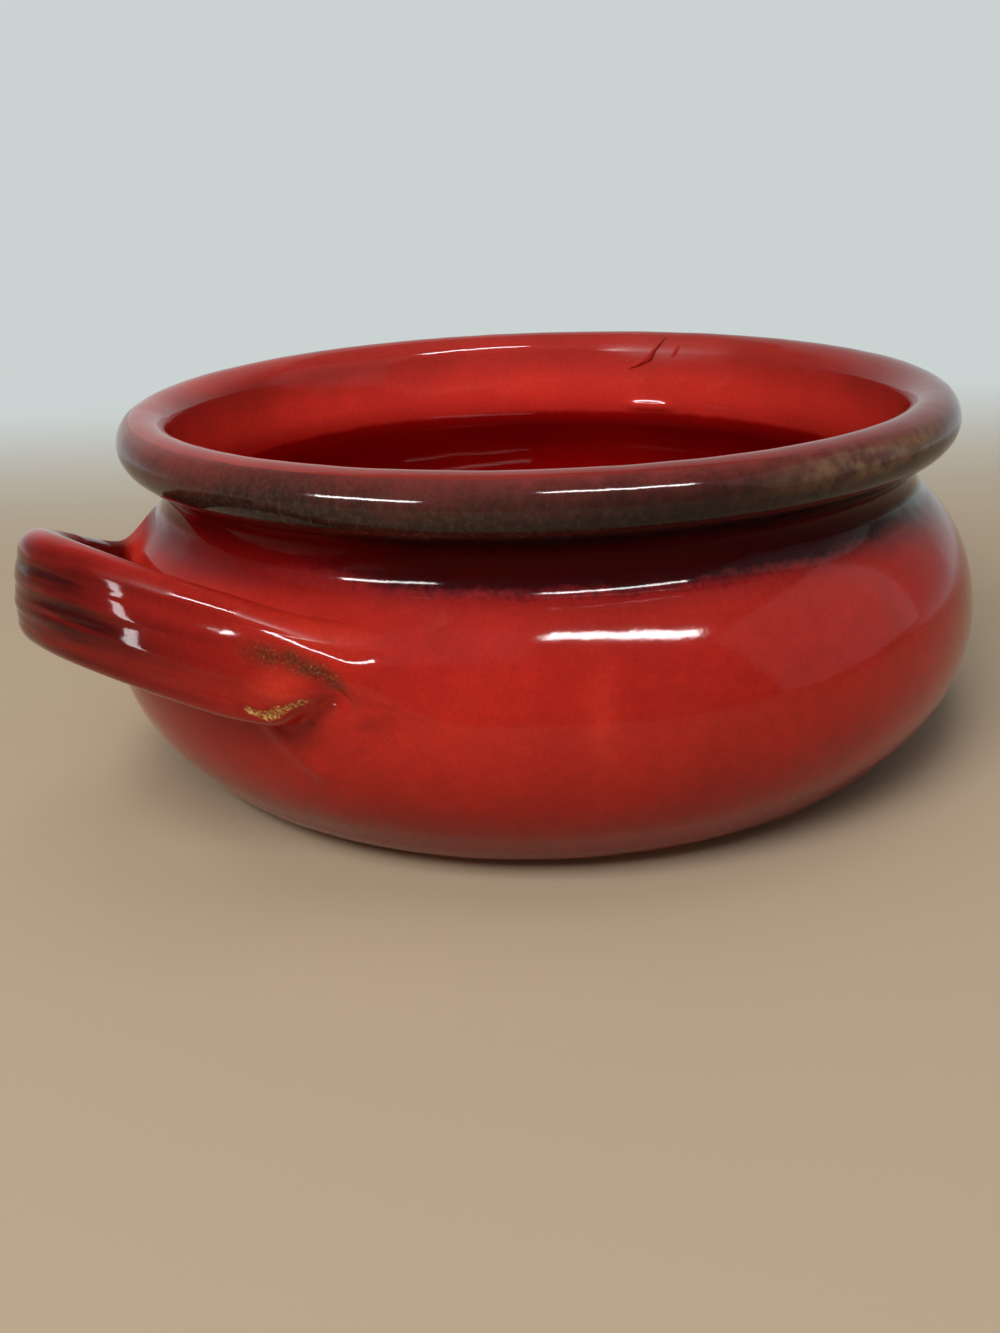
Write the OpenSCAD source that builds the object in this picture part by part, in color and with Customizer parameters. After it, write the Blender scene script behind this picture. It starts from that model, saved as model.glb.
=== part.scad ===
// Glazed terracotta casserole dish: a thrown bowl with a rolled rim, two pulled strap
// handles luted to the shoulder, and three glaze coats. Millimetres, +Z up.
// Origin: centre of the flat base. X runs through both handles.

/* [Bowl] */
// Greatest radius of the clay belly
belly_r = 132.4; // [90:0.1:180]
// Height of the greatest belly radius
belly_z = 40.5; // [25:0.5:70]
// Radius of the belly curve below its widest line
belly_low_r = 39.4; // [25:0.1:70]
// Radius of the shoulder curve above the widest line
shoulder_r = 44.4; // [30:0.1:80]
// Lean of the straight flank below the belly, from vertical
flank_angle = 38.7; // [20:0.1:55]
// Radius of the heel where the flank turns under to the base
heel_r = 28; // [10:0.5:45]
// Thickness of the thrown wall
wall = 5.8; // [3:0.1:12]
// Thickness of the clay floor
floor_t = 7.4; // [4:0.1:15]
// Radius of the inside corner between floor and flank
floor_corner_r = 24; // [8:0.5:40]

/* [Rim] */
// Radius of the clay roll at the rim
roll_r = 7.3; // [4:0.1:12]
// Radius from the axis to the middle of the roll
roll_centre_r = 117.1; // [80:0.1:160]
// Height of the middle of the roll
roll_z = 97.4; // [70:0.1:140]
// How much the radius of the neck hollow exceeds half the gap between shoulder and roll
neck_ease = 3.7; // [1:0.1:10]

/* [Glaze] */
// Thickness of a fired glaze coat
glaze_t = 0.6; // [0.3:0.05:1.5]
// Height of the bare clay foot below the outside glaze
dry_foot = 3; // [1:0.5:12]
// How far above the luted roots the dark rim glaze ends, along the shoulder
dark_gap = 2; // [0.5:0.25:4]
// Angle over the roll where the dark rim glaze meets the inside glaze
dark_top_angle = 62; // [20:1:110]

/* [Handles] */
// Half the angle between the two roots of a handle
root_angle = 29; // [18:0.5:40]
// How far the strap's middle line at its roots lies below the neck, along the shoulder
root_drop = 19.8; // [16:0.1:30]
// How far the loop rises above its roots
loop_rise = 19; // [0:0.5:20]
// How far the middle of the strap stands out from the belly at its outermost point
loop_out = 26.8; // [16:0.1:42]
// Angle at which the strap leaves the wall
leave_angle = 19.5; // [16:0.5:40]
// Length over which the strap keeps its leaving direction
leave_len = 24.5; // [15:0.5:45]
// Length of the broad bend at the outermost point
bend_len = 27; // [12:0.5:40]
// Width of the strap at the outermost point
strap_w = 28.8; // [20:0.1:32]
// Added width of the strap at its roots
root_flare = 0.75; // [0:0.25:6]
// Thickness of the strap
strap_t = 12; // [7:0.25:16]
// Lean of the strap's top edge towards the bowl at the outermost point
strap_lean = 7; // [0:0.5:28]
// Radius of the strap's rounded long edges, across the width
edge_r = 5.6; // [2:0.1:6]
// Fall of the outer face from its middle to its edges along the loop
strap_crown = 1.7; // [0:0.1:3]
// Fall of the outer face from its middle to its edges at the roots
root_crown = 5.4; // [0:0.1:6]
// Depth of the finger grooves pulled along the outer face
groove_depth = 0.3; // [0:0.05:1.5]
// Number of ridges that the finger grooves leave
ridge_count = 4; // [2:1:6]
// Depth of the thumb press at each root
press_depth = 2; // [0:0.1:4]
// Length of the thumb press along the strap
press_len = 17; // [8:0.5:26]
// Width of the thumb press across the strap
press_w = 9; // [5:0.5:16]
// Height of the thumb press above the strap's middle line
press_up = 3.5; // [-8:0.5:8]

/* [Luting] */
// How far the lute under each strap end stands above the glaze round it
lute_proud = 0.2; // [0.1:0.05:1.5]
// How far a lute stays inside the outline of the strap end
lute_inset = 1.5; // [0.5:0.25:5]
// Clearance between a strap end and its lute
lute_fit = 0.12; // [0.05:0.01:0.3]
// Clearance between a lute and the edge of the glaze round it
glaze_fit = 0.1; // [0.05:0.01:0.5]

/* [Hidden] */
$fn = 96;

// The belly and shoulder curves share the height of the widest line.
low_c = [belly_r - belly_low_r, belly_z];
high_c = [belly_r - shoulder_r, belly_z];
roll_c = [roll_centre_r, roll_z];

// The neck hollow rolls on the shoulder curve and on the rim at once.
span = norm(roll_c - high_c);
neck_r = (span - shoulder_r - roll_r) / 2 + neck_ease;
reach_low = shoulder_r + neck_r;
reach_high = roll_r + neck_r;
along = (span * span + reach_low * reach_low - reach_high * reach_high) / (2 * span);
aside = sqrt(reach_low * reach_low - along * along);
toward = (roll_c - high_c) / span;
neck_c = high_c + along * toward + aside * [toward[1], -toward[0]];
neck_low = atan2(neck_c[1] - high_c[1], neck_c[0] - high_c[0]);
neck_high = atan2(roll_c[1] - neck_c[1], roll_c[0] - neck_c[0]);

// The heel sits on the base plane and touches the flank.
flank_dir = [-sin(flank_angle), -cos(flank_angle)];
flank_top = low_c + belly_low_r * [cos(flank_angle), -sin(flank_angle)];
heel_touch_z = heel_r * (1 - sin(flank_angle));
heel_touch_r = flank_top[0] + flank_dir[0] * (heel_touch_z - flank_top[1]) / flank_dir[1];
heel_c = [heel_touch_r - heel_r * cos(flank_angle), heel_r];

// The inside corner sits on the floor and touches the inside of the flank.
flank_in = low_c + (belly_low_r - wall) * [cos(flank_angle), -sin(flank_angle)];
corner_touch_z = floor_t + floor_corner_r * (1 - sin(flank_angle));
corner_touch_r = flank_in[0] + flank_dir[0] * (corner_touch_z - flank_in[1]) / flank_dir[1];
corner_c = [corner_touch_r - floor_corner_r * cos(flank_angle), floor_t + floor_corner_r];

// The inside of the rim is a straight line that touches the roll and the inside of the neck.
throat_off = norm(roll_c - neck_c);
throat_angle = neck_high + acos((neck_r + wall - roll_r) / throat_off);

// An arc of radius r drawn t further out, with its steps set by r so that the clay line and a
// coat's line keep the same angles.
arc_sag = 0.04;
function arc(c, r, t, a0, a1) =
    let (n = ceil(abs(a1 - a0) / (2 * acos(1 - arc_sag / r))))
    [for (i = [0:n]) let (a = a0 + (a1 - a0) * i / n) c + (r + t) * [cos(a), sin(a)]];

// Height on the heel curve gives the angle where the outside glaze starts.
glaze_low_angle = -asin((heel_r - dry_foot) / (heel_r + glaze_t));

// The lines that carry the three coats, t outside the clay: foot to shoulder, shoulder to the
// top of the roll, then over the roll and down the inside to the middle of the floor.
function heel_line(t, a0, a1) = arc(heel_c, heel_r, t, a0, a1);
function shoulder_line(t, a0, a1) = arc(high_c, shoulder_r, t, a0, a1);
function roll_line(t, a0, a1) = arc(roll_c, roll_r, t, a0, a1);
function belly_line(t) = concat(
    arc(low_c, belly_low_r, t, -flank_angle, 0),
    shoulder_line(t, 0, dark_low_angle));
function red_line(t) = concat(heel_line(t, glaze_low_angle, -flank_angle), belly_line(t));
function dark_line(t) = concat(
    shoulder_line(t, dark_low_angle, neck_low),
    arc(neck_c, neck_r, -t, 180 + neck_low, neck_high),
    roll_line(t, neck_high - 180, dark_top_angle));
function inner_line(t) = concat(
    roll_line(t, dark_top_angle, throat_angle),
    arc(neck_c, neck_r + wall, t, throat_angle, 180 + neck_low),
    arc(high_c, shoulder_r - wall, -t, neck_low, 0),
    arc(low_c, belly_low_r - wall, -t, 0, -flank_angle),
    arc(corner_c, floor_corner_r, -t, -flank_angle, -90),
    [[0, floor_t + t]]);

function backward(list) = [for (i = [len(list) - 1:-1:0]) list[i]];

// A coat is the band between the clay line and the same line one glaze thickness out.
module coat(line_in, line_out) {
    rotate_extrude() polygon(concat(line_in, backward(line_out)));
}

module bowl() {
    color("#b5603c")
    rotate_extrude()
    polygon(concat(
        [[0, 0]],
        heel_line(0, -90, glaze_low_angle),
        red_line(0),
        dark_line(0),
        inner_line(0)));
}

module inside_glaze() {
    color("#7a0f0c")
    coat(inner_line(0), inner_line(glaze_t));
}

module rim_glaze() {
    color("#3a2622")
    difference() {
        coat(dark_line(0), dark_line(glaze_t));
        root_windows();
    }
}

module outside_glaze() {
    color("#b3261c")
    difference() {
        coat(red_line(0), red_line(glaze_t));
        root_windows();
    }
}

// Handle: a strap section carried along a loop that leaves the wall at one root, rises and
// returns at the other. Each lengthwise line stops where it meets the lute.
stations = 24;
face_steps = 16;
edge_steps = 4;
back_steps = 6;
cap_rings = 4;
halvings = 26;
// Length of the straight tail, how far its line is sunk into the clay at the root, the share of
// the half loop by which every line has left the wall, and the share in which the grooves fade in.
tail = 30;
root_bury = 2;
meet_by = 0.7;
groove_fade = 0.5;
lute_t = glaze_t + lute_proud;
seat = lute_t + lute_fit;

// Distance of a point outside the belly and shoulder curves, measured square to the clay.
function curve_c(z) = z < belly_z ? low_c : high_c;
function curve_r(z) = z < belly_z ? belly_low_r : shoulder_r;
function off_wall(p) = norm([norm([p[0], p[1]]), p[2]] - curve_c(p[2])) - curve_r(p[2]);

// The same point moved square to the wall until it is seated on the lute.
function seated(p) =
    let (r = norm([p[0], p[1]]), c = curve_c(p[2]), d = [r, p[2]] - c)
    let (q = c + (curve_r(p[2]) + seat) * d / norm(d))
    [p[0] * q[0] / r, p[1] * q[0] / r, q[1]];

// Loop of one half: a straight tail into the wall (u < 0), then a curve to the outermost
// point (u = 1).
root_tilt = neck_low - root_drop * 180 / (PI * shoulder_r);
root_z = belly_z + shoulder_r * sin(root_tilt);
loop_r = belly_r + loop_out;
root_r = high_c[0] + shoulder_r * cos(root_tilt) - root_bury;
root_at = root_r * [cos(root_angle), sin(root_angle)];
leave_dir = [cos(root_angle - 90 + leave_angle), sin(root_angle - 90 + leave_angle)];
leave_at = root_at + leave_len * leave_dir;
loop_at = [loop_r, 0];
bend_at = [loop_r, bend_len];
function loop_plan(u) = u < 0
    ? root_at + tail * u * leave_dir
    : pow(1 - u, 3) * root_at + 3 * pow(1 - u, 2) * u * leave_at
        + 3 * (1 - u) * u * u * bend_at + pow(u, 3) * loop_at;
function loop_slope(u) = u < 0
    ? leave_dir
    : pow(1 - u, 2) * (leave_at - root_at) + 2 * (1 - u) * u * (bend_at - leave_at)
        + u * u * (loop_at - bend_at);
function rise(u) = u < 0 ? 0 : (1 - cos(180 * u)) / 2;
function blend(at_root, at_loop, u) = at_root + (at_loop - at_root) * rise(u);

// Section of the strap as [out, up] pairs: grooved outer face, round edges, plain back.
half_len = norm(leave_at - root_at) + norm(bend_at - leave_at) + norm(loop_at - bend_at);
function thumb(u, h) =
    press_depth * exp(-pow(u * half_len * 2 / press_len, 2) - pow((h - press_up) * 2 / press_w, 2));
function groove(u, x) =
    groove_depth * rise(min(1, u / groove_fade)) * (1 + cos(180 * ridge_count * (x + 1))) / 2;
function face_out(u, h, w) =
    strap_t / 2 - blend(root_crown, strap_crown, u) * pow(2 * h / w, 2)
        - groove(u, 2 * h / w) - thumb(u, h);
function edge(u, h, w, turn) =
    let (top = face_out(u, h, w), mid = (top - strap_t / 2) / 2)
    [for (i = [1:edge_steps]) let (a = 90 - 180 * i / (edge_steps + 1))
        [mid + turn * (top - mid) * sin(a), h + turn * edge_r * cos(a)]];
function section(u) =
    let (w = blend(strap_w + root_flare, strap_w, u), f = w / 2 - edge_r)
    concat(
        [for (i = [0:face_steps]) let (h = f * (2 * i / face_steps - 1)) [face_out(u, h, w), h]],
        edge(u, f, w, 1),
        [for (i = [0:back_steps]) [-strap_t / 2, f * (1 - 2 * i / back_steps)]],
        edge(u, -f, w, -1));

// The point of lengthwise line j at u, on the half whose root lies at +Y.
function strap_point(j, u) =
    let (p = loop_plan(u), d = loop_slope(u) / norm(loop_slope(u)), s = section(u)[j])
    let (lean = blend(root_tilt, strap_lean, u), out = s[0] * cos(lean) - s[1] * sin(lean))
    let (up = s[1] * cos(lean) + s[0] * sin(lean))
    [p[0] - d[1] * out, p[1] + d[0] * out, root_z + loop_rise * rise(u) + up];

// Where line j meets the lute, by halving the stretch that holds the meeting point.
function meet(j, lo, hi, n) =
    let (mid = (lo + hi) / 2)
    n == 0 ? mid
        : off_wall(strap_point(j, mid)) > seat ? meet(j, lo, mid, n - 1) : meet(j, mid, hi, n - 1);

lines = len(section(0));
strap_half = [
    for (starts = [[for (j = [0:lines - 1]) meet(j, -1, meet_by, halvings)]], i = [0:stations])
        [for (j = [0:lines - 1]) strap_point(j, starts[j] + (1 - starts[j]) * i / stations)]];

// The strap end: rings on the lute that close in on the middle of the end outline.
function mean(ring, i = 0, sum = [0, 0, 0]) =
    i == len(ring) ? sum / len(ring) : mean(ring, i + 1, sum + ring[i]);
end_mid = seated(mean(strap_half[0]));
end_across = min([for (p = strap_half[0]) norm(p - end_mid)]);
end_tall = (max([for (p = strap_half[0]) p[2]]) - min([for (p = strap_half[0]) p[2]])) / 2;
end_rings = [
    for (k = [1:cap_rings - 1])
        [for (p = strap_half[0]) seated(end_mid + (p - end_mid) * k / cap_rings)]];

function mirrored(ring) = [for (p = ring) [p[0], -p[1], p[2]]];

module handle(side) {
    one = concat(end_rings, strap_half);
    rings = concat(one, [for (i = [len(one) - 2:-1:0]) mirrored(one[i])]);
    last = len(rings) - 1;
    tip = len(rings) * lines;
    color("#a6231b")
    rotate([0, 0, side])
    polyhedron(
        concat([for (ring = rings) each ring], [end_mid], mirrored([end_mid])),
        [for (j = [0:lines - 1]) let (k = (j + 1) % lines) each concat(
            [[tip, k, j], [tip + 1, last * lines + j, last * lines + k]],
            [for (i = [0:last - 1]) let (a = i * lines, b = a + lines)
                each [[a + j, a + k, b + k], [a + j, b + k, b + j]]])],
        convexity = 6);
}

// Lutes: oblong pads of slip on the clay, square to the wall under the middle of each strap end.
lute_r = end_across - lute_inset;
lute_tall = end_tall - end_across;
lute_depth = 2 * end_tall;
lute_angle = atan2(end_mid[1], end_mid[0]);
lute_tilt = atan2(end_mid[2] - belly_z, norm([end_mid[0], end_mid[1]]) - high_c[0]);

// The dark glaze ends on the shoulder just above the windows that the lutes leave in the coats.
window_top = lute_tall + lute_r + glaze_fit;
dark_low_angle = lute_tilt + asin(window_top / shoulder_r) + dark_gap * 180 / (PI * shoulder_r);

module oblong(r) {
    for (x = [-lute_tall, lute_tall])
        translate([x, 0, 0]) cylinder(r = r, h = lute_depth);
    translate([-lute_tall, -r, 0]) cube([2 * lute_tall, 2 * r, lute_depth]);
}

module lute_place(side, end) {
    rotate([0, 0, side + end * lute_angle])
    translate([high_c[0], 0, belly_z])
    rotate([0, 90 - lute_tilt, 0])
    translate([0, 0, shoulder_r - lute_depth / 2])
    children();
}

module root_windows() {
    for (side = [0, 180], end = [-1, 1])
        lute_place(side, end) oblong(lute_r + glaze_fit);
}

module lute(side, end) {
    color("#8f2a1e")
    intersection() {
        lute_place(side, end) oblong(lute_r);
        coat(
            concat(belly_line(0), shoulder_line(0, dark_low_angle, neck_low)),
            concat(belly_line(lute_t), shoulder_line(lute_t, dark_low_angle, neck_low)));
    }
}

module left_handle() { handle(180); }
module right_handle() { handle(0); }
module left_front_lute() { lute(180, 1); }
module left_rear_lute() { lute(180, -1); }
module right_front_lute() { lute(0, -1); }
module right_rear_lute() { lute(0, 1); }

bowl();
inside_glaze();
outside_glaze();
rim_glaze();
left_handle();
right_handle();
left_front_lute();
left_rear_lute();
right_front_lute();
right_rear_lute();
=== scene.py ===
from functools import partial
from math import acos, asin, atan2, cos, degrees, log, pi, radians, sin, sqrt, tan

import bpy
import numpy as np
from mathutils import Matrix, Vector


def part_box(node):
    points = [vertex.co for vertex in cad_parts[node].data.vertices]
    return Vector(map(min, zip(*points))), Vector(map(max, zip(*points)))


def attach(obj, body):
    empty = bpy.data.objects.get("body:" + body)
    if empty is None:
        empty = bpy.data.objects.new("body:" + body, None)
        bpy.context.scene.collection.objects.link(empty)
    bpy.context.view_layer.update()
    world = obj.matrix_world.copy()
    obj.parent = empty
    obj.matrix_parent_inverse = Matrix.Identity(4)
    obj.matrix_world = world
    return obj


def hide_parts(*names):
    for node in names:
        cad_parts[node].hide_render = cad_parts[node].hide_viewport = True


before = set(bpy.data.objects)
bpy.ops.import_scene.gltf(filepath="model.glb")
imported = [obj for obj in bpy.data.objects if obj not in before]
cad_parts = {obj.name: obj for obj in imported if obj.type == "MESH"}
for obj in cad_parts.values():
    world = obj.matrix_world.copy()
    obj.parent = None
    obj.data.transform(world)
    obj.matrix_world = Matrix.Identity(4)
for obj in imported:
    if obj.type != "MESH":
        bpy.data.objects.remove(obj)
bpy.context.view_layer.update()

scene = bpy.context.scene
scene.view_settings.view_transform = "Standard"
mm = 0.001  # shapes are worked out in mm and written in metres
print("frame loaded,", len(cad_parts), "clay and glaze parts")


# Small tools

def hexColour(text):
    # sRGB hex to the linear colour that sockets take
    srgb = np.array([int(text[i:i + 2], 16) for i in (1, 3, 5)]) / 255
    linear = np.where(srgb <= 0.04045, srgb / 12.92, ((srgb + 0.055) / 1.055) ** 2.4)
    return (*linear.tolist(), 1)


def addNode(tree, kind, inputs=None, out=0, stops=None, **settings):
    # one node: its settings, then each input as a value or as a link from a socket; gives one output
    made = tree.nodes.new("ShaderNode" + kind)
    for name, value in settings.items():
        setattr(made, name, value)
    for key, source in (inputs or {}).items():
        if isinstance(source, bpy.types.NodeSocket):
            tree.links.new(source, made.inputs[key])
        else:
            made.inputs[key].default_value = source
    if stops:  # a ramp's places and colours
        band = made.color_ramp.elements
        while len(band) < len(stops):
            band.new(1)
        for element, (place, colour) in zip(band, stops):
            element.position = place
            element.color = hexColour(colour)
    return made.outputs[out] if len(made.outputs) else made


def newMaterial(name):
    # an empty node material, the helper that adds to it, and its object coordinates in mm
    made = bpy.data.materials.new(name)
    made.use_nodes = True
    made.node_tree.nodes.clear()
    add = partial(addNode, made.node_tree)
    place = add("TexCoord", out="Object")
    return made, add, add("VectorMath", {0: place, 1: (1 / mm,) * 3}, operation="MULTIPLY")


def smooth(x):
    x = np.clip(x, 0, 1)
    return x * x * (3 - 2 * x)


def ease(x, start, end):
    # 0 before the start, 1 past the end
    return smooth((x - start) / (end - start))


def softSpan(x, start, full, easing, end):
    # 1 between full and easing, 0 outside start and end
    return ease(x, start, full) * ease(-x, -end, -easing)


def bump(gap, wide):
    return np.exp(-(gap / wide) ** 2)


def angleOff(turn, at):
    # turn from an angle in degrees, within half a turn
    return (turn - radians(at) + pi) % (2 * pi) - pi


def spot(turn, at, wide, power=2):
    # 1 at an angle, fading over a spread, both in degrees; a higher even power is flatter on top
    return np.exp(-(angleOff(turn, at) / radians(wide)) ** power)


def spun(r, turn, z):
    # points at a radius, an angle round the axis and a height
    return np.stack(np.broadcast_arrays(r * np.cos(turn), r * np.sin(turn), z), -1)


def unitOf(v):
    return v / np.linalg.norm(v, axis=-1)[..., None]


def cubic(t, p0, p1, p2, p3):
    return (1 - t) ** 3 * p0 + 3 * (1 - t) ** 2 * t * p1 + 3 * (1 - t) * t ** 2 * p2 + t ** 3 * p3


def gridFaces(rows, columns, closeRows=False):
    # quads of a grid whose columns close on themselves
    count = rows if closeRows else rows - 1
    i = np.arange(count)[:, None] * columns
    k = (np.arange(count)[:, None] + 1) % rows * columns
    j = np.arange(columns)[None, :]
    n = (j + 1) % columns
    return np.stack([i + j, i + n, k + n, k + j], 2).reshape(-1, 4)


def fanFaces(ring, tip, turned):
    # triangles from a ring of vertices to one pole
    after = np.roll(ring, -1)
    ends = (after, ring) if turned else (ring, after)
    return np.stack([ends[0], ends[1], np.full(len(ring), tip)], 1)


def tubeFaces(rows, columns):
    # quads of a tube, and triangles to the two poles that follow its points
    ring, tip = np.arange(columns), rows * columns
    fans = [fanFaces(ring, tip, True), fanFaces(ring + tip - columns, tip + 1, False)]
    return gridFaces(rows, columns), np.vstack(fans)


def outward(points, quads, triangles):
    # signed volume of the closed shell: the faces are turned round where it is negative
    corners = np.vstack([quads[:, [0, 1, 2]], quads[:, [0, 2, 3]], triangles])
    a, b, c = (points[corners[:, k]] for k in range(3))
    if (a * np.cross(b, c)).sum() < 0:
        return quads[:, ::-1], triangles[:, ::-1]
    return quads, triangles


def inScene(name, data):
    made = bpy.data.objects.new(name, data)
    scene.collection.objects.link(made)
    return made


def placed(place, right, top, back):
    # matrix of a place and three axes
    return Matrix.Translation(place) @ Matrix((right, top, back)).transposed().to_4x4()


def smoothMesh(name, points, faces, material):
    mesh = bpy.data.meshes.new(name)
    mesh.from_pydata(points.tolist(), [], faces)
    mesh.polygons.foreach_set("use_smooth", np.ones(len(mesh.polygons), bool))
    mesh.materials.append(material)
    return mesh


def shellPiece(name, points, quads, triangles, material, marks, normals=None):
    # a smooth closed mesh in metres from points in mm; poles that follow a grid take its first marks
    quads, triangles = outward(points, quads, triangles)
    mesh = smoothMesh(name, points * mm, quads.tolist() + triangles.tolist(), material)
    for key, values in marks.items():
        layer = mesh.attributes.new(key, "FLOAT", "POINT")
        values = np.append(values, values.ravel()[:len(points) - values.size])
        layer.data.foreach_set("value", values.astype(np.float32))
    if normals is not None:
        mesh.normals_split_custom_set_from_vertices(normals.tolist())
    mesh.update()
    piece = inScene(name, mesh)
    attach(piece, "root")
    print(name, len(points), "points")
    return piece


# Camera: where the dish is seen from, with the dish turned to its place in the view
view = dict(
    turn=43,  # degrees from the view's sideways axis to the line through the handles
    back=402.2, height=171.6,  # mm from the dish's axis and above the floor
    pan=-1.940, tilt=21.608, roll=-2.291,  # degrees
    focal=1300, tall=1333)  # pixels


def toPart(x, y, z):
    # view axes (right, away, up) to the dish's own axes
    c, s = cos(radians(view["turn"])), sin(radians(view["turn"]))
    return Vector((x * c + y * s, -x * s + y * c, z))


def makeCamera():
    pan, tilt, roll = (radians(view[k]) for k in ("pan", "tilt", "roll"))
    ahead = toPart(sin(pan) * cos(tilt), cos(pan) * cos(tilt), -sin(tilt))
    side = toPart(cos(pan), -sin(pan), 0)
    above = side.cross(ahead)
    right = side * cos(roll) + above * sin(roll)
    top = above * cos(roll) - side * sin(roll)
    data = bpy.data.cameras.new("camera")
    data.sensor_width = 36
    data.lens = data.sensor_width * view["focal"] / view["tall"]
    data.clip_start = 0.01
    scene.camera = inScene("camera", data)
    place = toPart(0, -view["back"] * mm, view["height"] * mm)
    scene.camera.matrix_world = placed(place, right, top, -ahead)


makeCamera()


# Stage: a round pale floor, and behind the dish a wall that sweeps up from it, in metres
stage = dict(
    rings=(0.02, 0.3, 0.8, 1.3, 1.9), coveR=0.9, wallTop=3.4, around=96, bends=14,
    near="#C4AF93", far="#CBD3D2",
    cool=(140, 620), glow=(2700, 1400))  # mm away over which it cools, mm aside over which its glow comes


def makeStage():
    # floor: rings about the axis; wall: a quarter round and a straight rise over the half turn behind
    r, wide = np.array(stage["rings"]), stage["around"]
    disc = spun(r[:, None], np.linspace(0, 2 * pi, wide, endpoint=False), 0)
    bend = np.append(np.linspace(0, pi / 2, stage["bends"]), pi / 2)
    wallReach = r[-1] + stage["coveR"] * np.sin(bend)
    wallZ = stage["coveR"] * (1 - np.cos(bend))
    wallZ[-1] = stage["wallTop"]
    behind = radians(90 - view["turn"]) + np.linspace(-pi / 2, pi / 2, wide)
    wall = spun(wallReach[:, None], behind, wallZ[:, None])
    points = np.vstack([disc.reshape(-1, 3), wall.reshape(-1, 3), [0, 0, 0]])
    wallFaces = gridFaces(len(bend), wide).reshape(-1, wide, 4)[:, :-1].reshape(-1, 4)  # open at both ends
    faces = np.vstack([gridFaces(len(r), wide), wallFaces + len(r) * wide])[:, ::-1].tolist()
    faces += fanFaces(np.arange(wide), len(points) - 1, False).tolist()
    # painted board: matt, warm under the dish and cooler where it rises behind, where it glows evenly;
    # the glow fades towards the wall's two ends, so that no hard edge shows in the glaze
    made, add, inMm = newMaterial("painted_board")
    away, aside = (add("VectorMath", {0: inMm, 1: toPart(*axis)}, out="Value", operation="DOT_PRODUCT")
                   for axis in ((0, 1, 0), (1, 0, 0)))
    aside = add("Math", {0: aside}, operation="ABSOLUTE")
    cool, fade = (add("MapRange", {0: run, 1: start, 2: end}, interpolation_type="SMOOTHSTEP")
                  for run, (start, end) in ((away, stage["cool"]), (aside, stage["glow"])))
    tone = add("ValToRGB", {0: cool}, stops=[(0, stage["near"]), (1, stage["far"])])
    paint = add("BsdfPrincipled", {"Base Color": tone, "Roughness": 0.75})
    glow = add("Emission", {0: tone})
    path = add("LightPath").node.outputs
    seen = path["Is Camera Ray"]
    for operation, other in (("ADD", path["Is Glossy Ray"]), ("ADD", path["Is Transmission Ray"]),
                             ("MULTIPLY", cool), ("MULTIPLY", fade)):
        seen = add("Math", {0: seen, 1: other}, operation=operation)
    add("OutputMaterial", {0: add("MixShader", {0: seen, 1: paint, 2: glow})})
    floor = inScene("studio_floor", smoothMesh("studio_floor", points, faces, made))


makeStage()


# Lamps: two soft boxes light the clay; the strips, the card and the window only shine in the glaze.
# Place and long side in view axes (right, away, up), size in metres, radiance, and whether it lights
lamps = dict(
    softBox=((-0.62, -1.28, 1.50), (1, 0, 0), (1.1, 0.8), 10.5, True),
    topBox=((-0.10, 0.10, 1.90), (1, 0, 0), (1.2, 1.2), 1.3, True),
    rightStrip=((0.67, -1.33, 1.80), (1, 0, 0), (1.33, 0.17), 60, False),
    leftStrip=((-1.31, -1.38, 0.92), (-0.7, 0.7, 0), (0.96, 0.16), 60, False),
    sideCard=((-0.70, -1.20, 0.36), (0, 0, 1), (0.70, 0.16), 20, False),
    window=((1.60, -0.30, 0.70), (0, 1, 0), (1.65, 1.40), 0.38, False))
lampAim = (0, 0, 0.06)
fillLight = dict(Strength=0.20, Color=hexColour("#E8ECEC"))
# the pieces that mirror a lamp, where it isn't all of them
mirrorsOf = dict(
    leftStrip=("outside_coat", "rim_coat", "inside_coat"), sideCard=("left_strap", "right_strap"))


def makeLamp(name, at, along, size, radiance, lights):
    data = bpy.data.lights.new(name, "AREA")
    data.shape = "RECTANGLE"
    data.size, data.size_y = size
    data.energy = radiance * pi * size[0] * size[1]  # watts of a flat lamp of that radiance
    lamp = inScene(name, data)
    place = toPart(*at)
    back = (place - toPart(*lampAim)).normalized()
    long = toPart(*along)
    long = (long - back * long.dot(back)).normalized()
    lamp.matrix_world = placed(place, long, back.cross(long), back)
    lamp.visible_camera = False
    lamp.visible_diffuse = lights
    lamp.visible_glossy = not lights


for lampName, lampData in lamps.items():
    makeLamp(lampName, *lampData)
world = bpy.data.worlds.new("studio_fill")
world.use_nodes = True
for socketName, value in fillLight.items():
    world.node_tree.nodes["Background"].inputs[socketName].default_value = value
scene.world = world
print("camera, floor and", len(lamps), "lamps set")


# Bowl: the clay's own sizes, in mm and degrees
bowl = dict(
    bellyR=132.4, bellyZ=40.5, bellyLowR=39.4, shoulderR=44.4, flank=38.7, heelR=28,
    wall=5.8, floorT=7.4, floorCornerR=24,
    rollR=7.3, rollCentreR=117.1, rollZ=97.4, neckEase=3.7,
    glazeT=0.6, dryFoot=3, darkTop=62,
    arcGrain=12, lineStep=0.25)  # degrees times mm per step of an arc, mm per step of the whole line


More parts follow.
